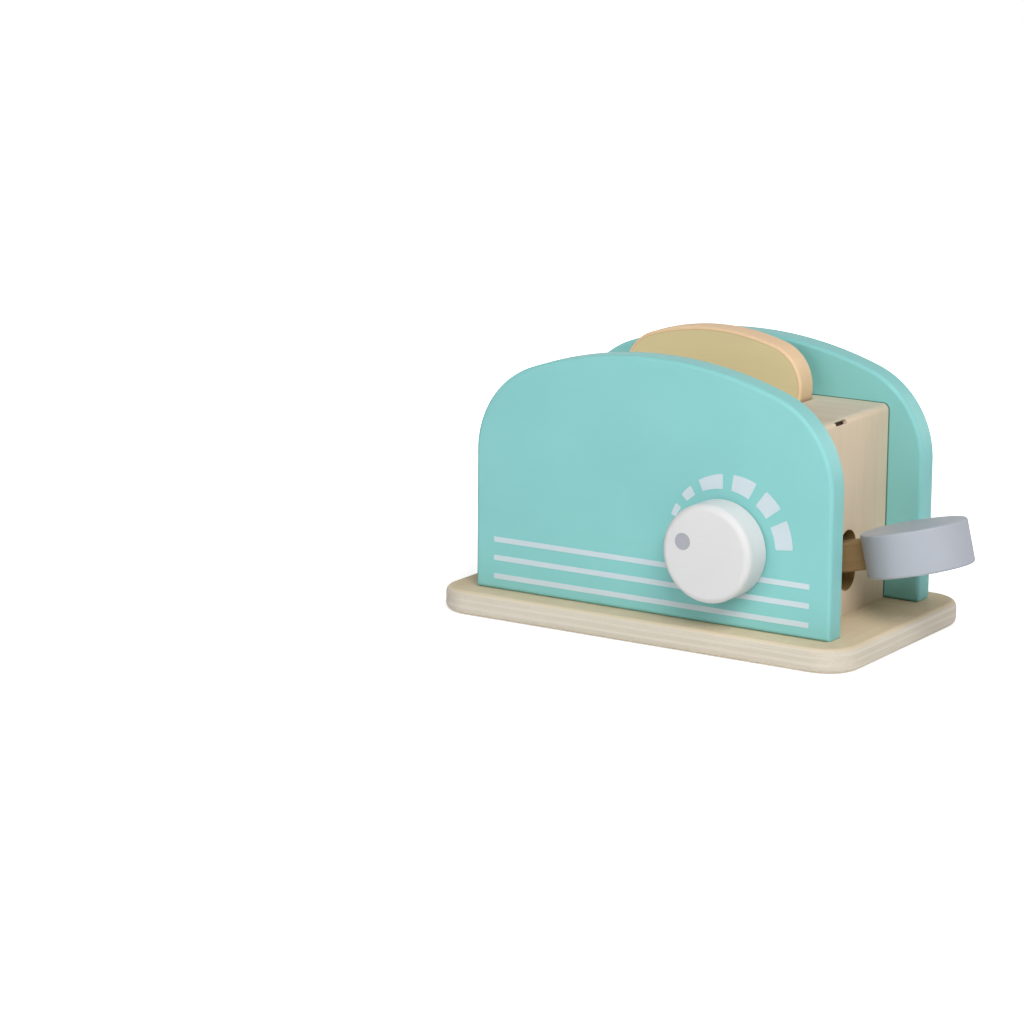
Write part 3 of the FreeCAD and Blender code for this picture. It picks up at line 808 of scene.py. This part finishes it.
def cross_slab(x, y, half_x, half_y):
    """One arm of the driver cross, narrower at its deep end."""
    mesh = slab((x - half_x, y - half_y, -OVERSHOOT), (x + half_x, y + half_y, SCREW_SINK + CROSS_DEPTH))
    deep = [vert for vert in mesh.verts if vert.co.z > 0]
    about = Matrix.Translation((x, y, 0)).inverted()
    bmesh.ops.scale(mesh, verts=deep, vec=(CROSS_TAPER, CROSS_TAPER, 1), space=about)
    return mesh


cut(base, *[screw_hole(x, y) for x, y in screw_places()])
finish_piece(base, plies, "case", "plywood", "base_board")

for number, (x, y) in enumerate(screw_places()):
    one = as_object(f"base_screw_{number + 1}", screw(x, y))
    cut(one, cross_slab(x, y, CROSS_REACH, CROSS_HALF), cross_slab(x, y, CROSS_HALF, CROSS_REACH))
    finish_piece(one, bright_steel, "case", "steel", "base_screws")

# %% [markdown]
# ## Front and back panels
# Both panels are cut from one pattern: straight sides, a shoulder arc, and a long flat arc over the top
# that meets the shoulders without a corner. The radius of the top arc follows from its rise. The pen draws
# the right half, the mirror the left, and the rims get the soft round edge that holds the paint. It runs
# round the foot as well, which leaves a fine dark line where the board stands on the base.

# %% Model the panels
SHOULDER = 43.0 * MM
PANEL_SIDE = 64.0 * MM
PANEL_EDGE = 2.0 * MM
FOOT_SANDING = 1.2 * MM
AXLE_BORE = 8.16 * MM


def crown(pen, half, spring, shoulder, top, first=0.0):
    """The right half of an arch: a shoulder arc from the first angle on, then the long arc to the middle."""
    centre_x = half - shoulder
    rise = top - spring - shoulder
    radius = ((shoulder + rise) ** 2 + centre_x**2 - shoulder**2) / (2 * rise)
    meet = math.atan2(spring - (top - radius), centre_x)
    pen.arc(centre_x, spring, meet - first, steps=24)
    pen.arc(0, top - radius, QUARTER_TURN - meet, steps=20)


def panel(low, high):
    pen = Pen(0, low.z)
    pen.line(high.x, low.z)
    pen.line(high.x, low.z + PANEL_SIDE)
    crown(pen, high.x, low.z + PANEL_SIDE, SHOULDER, high.z)
    pen.mirror()
    mesh = board(pen, low.y, high.y)
    round_over(mesh, edges_on(mesh, 1, low.y, high.y), PANEL_EDGE, segments=5)
    return mesh


def rod(x, z, near_y, far_y, diameter):
    """A plain rod along Y, used as a drill."""
    mesh = bmesh.new()
    size = {"segments": 48, "radius1": diameter / 2, "radius2": diameter / 2, "depth": far_y - near_y}
    bmesh.ops.create_cone(mesh, cap_ends=True, **size)
    rotate(mesh, QUARTER_TURN, "X")
    move(mesh, x, (near_y + far_y) / 2, z)
    return mesh


front = as_object("front_panel_painted", panel(front_low, front_high))
bore_ends = (front_low.y - OVERSHOOT, front_high.y + OVERSHOOT)
cut(front, rod(knob_centre.x, knob_centre.z, *bore_ends, AXLE_BORE))
sand(front, FOOT_SANDING)
finish_piece(front, turquoise, "case", "turquoise_paint", "front_panel")
back = as_object("back_panel_painted", panel(back_low, back_high))
sand(back, FOOT_SANDING)
finish_piece(back, turquoise, "case", "turquoise_paint", "back_panel")

# %% [markdown]
# ## Printed stripes
# Three stripes are screen printed low on the front. Ink lies on the paint as a film about 0.15 mm thick
# with slightly rounded corners, so each stripe is a thin slab with its corners eased and its rim softened.

# %% Print the stripes
stripe_low, stripe_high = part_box("front_stripes")
STRIPE_COUNT = 3
STRIPE_WIDTH = 2.4 * MM
INK_CORNER = 0.3 * MM
INK_RIM = 0.05 * MM
INK_TURN = 1.0
pitch = (stripe_high.z - stripe_low.z - STRIPE_WIDTH) / (STRIPE_COUNT - 1)


def soften_ink(mesh):
    """Eases the corners that turn by more than INK_TURN radians, then the rim of the film."""
    corners = [edge for edge in edges_along(mesh, 1) if edge.calc_face_angle() > INK_TURN]
    round_over(mesh, corners, INK_CORNER, segments=3)
    round_over(mesh, edges_on(mesh, 1, stripe_low.y), INK_RIM, segments=2)


for count in range(STRIPE_COUNT):
    z = stripe_low.z + count * pitch
    mesh = slab((stripe_low.x, stripe_low.y, z), (stripe_high.x, stripe_high.y, z + STRIPE_WIDTH))
    soften_ink(mesh)
    stripe = as_object(f"printed_stripe_{count + 1}", mesh)
    finish_piece(stripe, ink, "case", "white_print", "front_stripes")

# %% [markdown]
# ## Dial marks
# The marks round the knob are parts of a crescent: their inner ends lie on a circle about the knob, their
# outer ends on a larger circle whose centre is shifted. Each mark is drawn as two arcs joined along rays
# from the knob, so the pen only needs the distance at which a ray meets the outer circle. The start, the
# gap and the widths are in degrees.

# %% Print the dial marks
DIAL_INNER = 26.2 * MM
DIAL_OUTER = 31.2 * MM
DIAL_SHIFT = Vector((3.3 * MM, 1.9 * MM))
DIAL_START = 5.5
DIAL_GAP = 9.4
DIAL_WIDTHS = (21.8, 16.1, 19.8, 22.4, 11.6, 11.5)


def outer_point(angle):
    """Where a ray from the knob's centre meets the outer circle, seen from that centre."""
    ray = Vector((math.cos(angle), math.sin(angle)))
    along = ray.dot(DIAL_SHIFT)
    return ray * (along + math.sqrt(DIAL_OUTER**2 - DIAL_SHIFT.length_squared + along**2))


def dial_mark(first, last):
    centre = Vector((knob_centre.x, knob_centre.z))
    begin = centre + DIAL_INNER * Vector((math.cos(first), math.sin(first)))
    pen = Pen(*begin)
    pen.arc(*centre, last - first, steps=8)
    outer = outer_point(last)
    pen.line(*(centre + outer))
    from_shift = [point - DIAL_SHIFT for point in (outer, outer_point(first))]
    sweep = math.atan2(from_shift[1].y, from_shift[1].x) - math.atan2(from_shift[0].y, from_shift[0].x)
    pen.arc(*(centre + DIAL_SHIFT), sweep, steps=8)
    pen.close()
    mesh = board(pen, stripe_low.y, stripe_high.y)
    soften_ink(mesh)
    return mesh


angle = DIAL_START
for number, width in enumerate(DIAL_WIDTHS):
    mark = as_object(f"dial_mark_{number + 1}", dial_mark(math.radians(angle), math.radians(angle + width)))
    finish_piece(mark, ink, "case", "white_print", "dial_marks")
    angle += width + DIAL_GAP

# %% [markdown]
# ## Case boards
# Two end boards and a top board form the case, mitred at its upper corners and rounded over there after
# gluing. Each board is drawn in section with its share of the rounding, so that the two shares meet on
# the mitre line. The rims next to the panels are eased first, which leaves a fine groove along each panel,
# and every other sharp edge is only touched with sandpaper after the slots are cut.

# %% Model the case boards
SANDING = 0.15 * MM
SIDE_SANDING = 0.8 * MM
ARM_SLOT_HALF = 8.0 * MM
ARM_SLOT_LOW = 21.92 * MM
ARM_SLOT_HIGH = 49.53 * MM
SLOT_CENTRE = Vector((-6.0 * MM, 22.0 * MM))
SLOT_HALF = Vector((46.75 * MM, 7.0 * MM))
EIGHTH_TURN = QUARTER_TURN / 2

rounding_x = end_high.x - CASE_ROUNDING
rounding_z = top_high.z - CASE_ROUNDING
ceiling = top_low.z


def case_board(pen):
    """Gives a closed outline the depth of the case and eases the rims that meet the panels."""
    mesh = board(pen, end_low.y, end_high.y)
    round_over(mesh, edges_on(mesh, 1, end_low.y, end_high.y), SIDE_SANDING, segments=2)
    return mesh


def end_board():
    """The upright board on the +X side."""
    pen = Pen(end_low.x, end_low.z)
    pen.line(end_high.x, end_low.z)
    pen.line(end_high.x, rounding_z)
    pen.arc(rounding_x, rounding_z, EIGHTH_TURN, steps=5)
    pen.line(end_low.x, ceiling)
    pen.close()
    return case_board(pen)


def top_board():
    """The board across the top, from mitre to mitre."""
    mitre_x = rounding_x + CASE_ROUNDING * math.cos(EIGHTH_TURN)
    mitre_z = rounding_z + CASE_ROUNDING * math.sin(EIGHTH_TURN)
    pen = Pen(0, ceiling)
    pen.line(end_low.x, ceiling)
    pen.line(mitre_x, mitre_z)
    pen.arc(rounding_x, rounding_z, EIGHTH_TURN, steps=5)
    pen.line(0, top_high.z)
    pen.mirror()
    return case_board(pen)


def arm_slot():
    """A round-ended tool for the slot that the arm comes out of."""
    low = ARM_SLOT_LOW + ARM_SLOT_HALF
    high = ARM_SLOT_HIGH - ARM_SLOT_HALF
    pen = Pen(ARM_SLOT_HALF, low)
    pen.line(ARM_SLOT_HALF, high)
    pen.arc(0, high, math.pi, steps=20)
    pen.line(-ARM_SLOT_HALF, low)
    pen.arc(0, low, math.pi, steps=20)
    pen.weld()
    mesh = board(pen, end_low.x - OVERSHOOT, end_high.x + OVERSHOOT)
    rotate(mesh, -QUARTER_TURN, "Z")
    return mesh


def bread_slot(side):
    """A tool for the back slot, side 1, or the front slot, side -1."""
    centre = Vector((SLOT_CENTRE.x, side * SLOT_CENTRE.y))
    low, high = centre - SLOT_HALF, centre + SLOT_HALF
    return slab((low.x, low.y, ceiling - OVERSHOOT), (high.x, high.y, top_high.z + OVERSHOOT))


print("rounding centre at x", round(rounding_x / MM, 2), "z", round(rounding_z / MM, 2))

# %% [markdown]
# ## Corner staples
# A staple is driven across each mitre and sunk below the surface, which leaves a small dark slot on the
# rounded edge. The wire is a U with its edges rounded. A slab a little larger than its crown cuts the
# recess, so the staple always sits in its own hole. Once the case is cut, the walls of the arm's slot get
# a second, browner wood: painted shade for the inside of the slot.

# %% Staples and the finished case
STAPLE_CROWN = 9.5 * MM
STAPLE_WIRE = 1.1 * MM
STAPLE_LEG = 14.0 * MM
STAPLE_SINK = 2.9 * MM
STAPLE_EDGE = 0.3 * STAPLE_WIRE
STAPLE_PLAY = 0.4 * MM
STAPLE_Y = -8.6 * MM
DRIVE_ANGLE = math.radians(32)
WALL_SLANT = 0.5
seat = CASE_ROUNDING - STAPLE_SINK


def at_corner(mesh, end):
    """Takes a piece drawn along +X and standing in XZ to its drive line at one end of the case."""
    lay_flat = Matrix.Rotation(-QUARTER_TURN, 4, "X")
    drive = Matrix.Rotation(-DRIVE_ANGLE, 4, "Y")
    place = Matrix.Translation((rounding_x, STAPLE_Y, rounding_z))
    to_end = Matrix.Rotation(0 if end > 0 else math.pi, 4, "Z")
    bmesh.ops.transform(mesh, verts=mesh.verts, matrix=to_end @ place @ drive @ lay_flat)
    return mesh


def staple(end):
    """The wire: two legs and the crown between them."""
    half = STAPLE_CROWN / 2
    inner = half - STAPLE_WIRE
    pen = Pen(seat - STAPLE_LEG, half)
    pen.line(seat - STAPLE_LEG, inner)
    pen.line(seat, inner)
    pen.line(seat, -inner)
    pen.line(seat - STAPLE_LEG, -inner)
    pen.line(seat - STAPLE_LEG, -half)
    pen.line(seat + STAPLE_WIRE, -half)
    pen.line(seat + STAPLE_WIRE, half)
    pen.close()
    mesh = board(pen, -STAPLE_WIRE / 2, STAPLE_WIRE / 2)
    round_over(mesh, mesh.edges[:], STAPLE_EDGE, segments=3)
    return at_corner(mesh, end)


def recess(end):
    """A tool for the slot that the sunk crown leaves."""
    reach = STAPLE_CROWN / 2 + STAPLE_PLAY
    thick = STAPLE_WIRE / 2 + STAPLE_PLAY
    return at_corner(slab((seat, -thick, -reach), (CASE_ROUNDING + 2 * OVERSHOOT, thick, reach)), end)


def inside_arm_slot(face):
    """True for the walls of the slot, whose normals have less than WALL_SLANT of X in them."""
    beside = abs(face.center.y) < ARM_SLOT_HALF + SANDING
    between = ARM_SLOT_LOW < face.center.z + SANDING < ARM_SLOT_HIGH
    return beside and between and abs(face.normal.x) < WALL_SLANT


lever_end = as_object("lever_end_board_bare", end_board())
cut(lever_end, arm_slot(), recess(1))
plain = end_board()
rotate(plain, math.pi, "Z")
plain_end = as_object("plain_end_board_bare", plain)
cut(plain_end, recess(-1))
top = as_object("top_board_bare", top_board())
cut(top, bread_slot(1), bread_slot(-1), recess(1), recess(-1))
boards = (
    (lever_end, end_wood, "lever_end_board"),
    (plain_end, end_wood, "plain_end_board"),
    (top, top_wood, "top_board"),
)
for thing, material, node in boards:
    sand(thing, SANDING)
    finish_piece(thing, material, "case", "case_wood", node)
# Painted shade: the walls of the arm's slot take the browner wood.
lever_end.data.materials.append(slot_shade_wood)
for face in lever_end.data.polygons:
    face.material_index = int(inside_arm_slot(face))
for number, end in enumerate((1, -1)):
    one = as_object(f"staple_{number + 1}", staple(end))
    finish_piece(one, dull_steel, "case", "steel", "corner_staples")

# %% [markdown]
# ## Lever arm
# The arm is a nearly square bar that rocks on a dowel. Its inner end is rounded so that it can roll under
# the platform. The bar is drawn level about its pivot, where its numbers are simple, and then tilted and
# carried to the pivot in one transform that every lever piece shares.

# %% Model the arm
ARM_WIDTH = 12.0 * MM
ARM_HALF = 6.5 * MM
ARM_EDGE = 1.0 * MM
NOSE_REACH = 60.39 * MM
PADDLE_REACH = 59.5 * MM
PADDLE_LENGTH = 49.2 * MM
SOCKET = 8.0 * MM
DOWEL = 8.0 * MM
BORE_PLAY = 0.16 * MM
arm_end = PADDLE_REACH - PADDLE_LENGTH / 2 + SOCKET


def on_lever(mesh):
    """From the level drawing about the pivot to the tilted lever."""
    matrix = Matrix.Translation(pivot) @ Matrix.Rotation(-TILT, 4, "Y")
    bmesh.ops.transform(mesh, verts=mesh.verts, matrix=matrix)
    return mesh


def arm_bar(nose):
    """The bar with its rounded nose, or only a straight one that stands for the socket."""
    pen = Pen(-NOSE_REACH, -ARM_HALF)
    pen.line(arm_end, -ARM_HALF)
    pen.line(arm_end, ARM_HALF)
    pen.line(-NOSE_REACH, ARM_HALF)
    if nose:
        pen.arc(-NOSE_REACH, 0, math.pi, steps=18)
        pen.weld()
    else:
        pen.close()
    return board(pen, -ARM_WIDTH / 2, ARM_WIDTH / 2)


mesh = arm_bar(nose=True)
round_over(mesh, edges_on(mesh, 1, -ARM_WIDTH / 2, ARM_WIDTH / 2), ARM_EDGE, segments=3)
arm = as_object("lever_arm_bare", on_lever(mesh))
pivot_drill = rod(0, 0, -ARM_WIDTH, ARM_WIDTH, DOWEL + BORE_PLAY)
nose_drill = rod(-NOSE_REACH, 0, -ARM_WIDTH, ARM_WIDTH, DOWEL)
cut(arm, on_lever(pivot_drill), on_lever(nose_drill))
finish_piece(arm, arm_wood, "lever", "arm_wood", "lever_arm")

# %% [markdown]
# ## Paddle
# The part that a child presses is a thick oval disc on the end of the arm. A circle scaled to an oval and
# extruded gives it, with a rounded rim top and bottom. The arm goes 8 mm into a socket in its side.

# %% Model the paddle
PADDLE_DEPTH = 40.2 * MM
PADDLE_THICKNESS = 19.8 * MM
PADDLE_EDGE = 1.1 * MM

mesh = bmesh.new()
bmesh.ops.create_circle(mesh, cap_ends=True, radius=1.0, segments=128)
bmesh.ops.scale(mesh, verts=mesh.verts, vec=(PADDLE_LENGTH / 2, PADDLE_DEPTH / 2, 1))
move(mesh, PADDLE_REACH, 0, -PADDLE_THICKNESS / 2)
thicken(mesh, 0, 0, PADDLE_THICKNESS)
round_over(mesh, edges_on(mesh, 2, -PADDLE_THICKNESS / 2, PADDLE_THICKNESS / 2), PADDLE_EDGE, segments=5)
paddle = as_object("paddle_painted", on_lever(mesh))
cut(paddle, on_lever(arm_bar(nose=False)))
finish_piece(paddle, grey, "lever", "grey_paint", "lever_paddle")

# %% [markdown]
# ## Knob
# The knob is turned on a lathe and sprayed white. Its profile, drawn once from the middle of the face over
# the soft front edge to the back, is spun about the axle. The blind hole for the axle is part of the
# profile. A shallow seat for the pointer dot is cut into the face afterwards.

# %% Model the knob and its dot
knob_low, knob_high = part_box("knob")
dot_low, dot_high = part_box("knob_dot")
KNOB_EDGE = 3.2 * MM
KNOB_BACK_EDGE = 0.8 * MM
AXLE = 8.0 * MM
AXLE_SEAT = 9.0 * MM
DOT_RIM = 0.05 * MM
knob_depth = knob_high.y - knob_low.y
knob_radius = (knob_high.z - knob_low.z) / 2

pen = Pen(knob_depth, 0)
pen.line(knob_depth, knob_radius - KNOB_EDGE)
pen.arc(knob_depth - KNOB_EDGE, knob_radius - KNOB_EDGE, QUARTER_TURN, steps=8)
pen.line(KNOB_BACK_EDGE, knob_radius)
pen.arc(KNOB_BACK_EDGE, knob_radius - KNOB_BACK_EDGE, QUARTER_TURN, steps=3)
pen.line(0, AXLE / 2)
pen.line(AXLE_SEAT, AXLE / 2)
pen.line(AXLE_SEAT, 0)
mesh = turned(pen, steps=96)
rotate(mesh, -QUARTER_TURN, "Z")
move(mesh, knob_centre.x, knob_high.y, knob_centre.z)
knob = as_object("knob_painted", mesh)

dot_x = (dot_low.x + dot_high.x) / 2
dot_z = (dot_low.z + dot_high.z) / 2
dot_size = dot_high.x - dot_low.x
cut(knob, rod(dot_x, dot_z, dot_low.y - OVERSHOOT, dot_high.y, dot_size))
finish_piece(knob, white, "knob", "white_paint", "knob")

mesh = rod(dot_x, dot_z, dot_low.y, dot_high.y, dot_size)
round_over(mesh, edges_on(mesh, 1, dot_low.y), DOT_RIM, segments=2)
finish_piece(as_object("pointer_dot", mesh), dot_grey, "knob", "grey_print", "knob_dot")

# %% [markdown]
# ## Bread slice
# The slice is a board with the outline of tin loaf bread: a straight body, a waist, and a domed head.
# The waist is one arc that leaves the side upright and meets the shoulder without a corner, so its radius
# follows from how far the head overhangs. Three insets on each face carry the value that parts the paints.

# %% Model the slice
slice_low, slice_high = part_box("bread_slice")
SLICE_BODY = 78.0 * MM
SLICE_WAIST = 46.0 * MM
SLICE_NECK = 22.75 * MM
SLICE_SHOULDER = 20.0 * MM
SLICE_FOOT = 3.0 * MM
SLICE_EDGE = 1.2 * MM
CRUST_WRAP = 0.1 * MM
OVERLAP = 0.25 * MM


def slice_outline():
    """The whole outline, drawn about X 0."""
    half = SLICE_BODY / 2
    head = (slice_high.x - slice_low.x) / 2
    foot = slice_low.z
    waist = foot + SLICE_WAIST
    spring = waist + SLICE_NECK
    shoulder_x = head - SLICE_SHOULDER
    inward = half - shoulder_x
    waist_radius = (SLICE_NECK**2 + inward**2 - SLICE_SHOULDER**2) / (2 * (head - half))
    waist_x = half + waist_radius
    meet = math.atan2(waist - spring, waist_x - shoulder_x)
    pen = Pen(0, foot)
    pen.line(half - SLICE_FOOT, foot)
    pen.arc(half - SLICE_FOOT, foot + SLICE_FOOT, QUARTER_TURN, steps=6)
    pen.line(half, waist)
    pen.arc(waist_x, waist, meet, steps=12)
    crown(pen, head, spring, SLICE_SHOULDER, slice_high.z, meet)
    pen.mirror()
    return pen


mesh = board(slice_outline(), slice_low.y, slice_high.y)
move(mesh, (slice_low.x + slice_high.x) / 2, 0, 0)
round_over(mesh, edges_on(mesh, 1, slice_low.y, slice_high.y), SLICE_EDGE, segments=4)
crust = mesh.verts.layers.float.new("crust")
for vert in mesh.verts:
    vert[crust] = 1.0
for face in [face for face in mesh.faces if abs(face.normal.y) > ALIGNED]:
    for width, value in ((CRUST_WRAP, 1.0), (OVERLAP, 0.5), (OVERLAP, 0.0)):
        bmesh.ops.inset_region(mesh, faces=[face], thickness=width, use_even_offset=True)
        for vert in face.verts:
            vert[crust] = value
slice_board = as_object("bread_slice_painted", mesh)
finish_piece(slice_board, bread, "slice", "bread_paint", "bread_slice")

# %% [markdown]
# ## The pieces inside
# The platform, battens, blocks, dowels and retainer already have their true shapes, and little of them
# shows. They keep their solids and only get wood whose grain runs the way each would be cut.

# %% Finish the inner pieces
inner_finishes = {
    "lift_platform": inner_wood,
    "lift_battens": inner_wood,
    "pivot_blocks": block_wood,
    "guide_dowels": upright_dowel,
    "paddle_pin": upright_dowel,
    "panel_dowels": cross_dowel,
    "push_dowel": cross_dowel,
    "lever_pivot_dowel": cross_dowel,
    "knob_axle": cross_dowel,
    "knob_retainer": cross_dowel,
}
for node, material in inner_finishes.items():
    for place in frame["nodes"][node].material_slots:
        place.material = material
print("inner pieces finished:", len(inner_finishes))

# %% [markdown]
# ## Size of the dressed toy
# The dressed toy must be as large as its solids, so the boxes of both are printed.

# %% Print the sizes
visual_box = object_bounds()
boxes = {"cad": cad_box, "visual": visual_box}
for name, box in boxes.items():
    print(name, [round(value / MM, 2) for corner in box for value in corner])
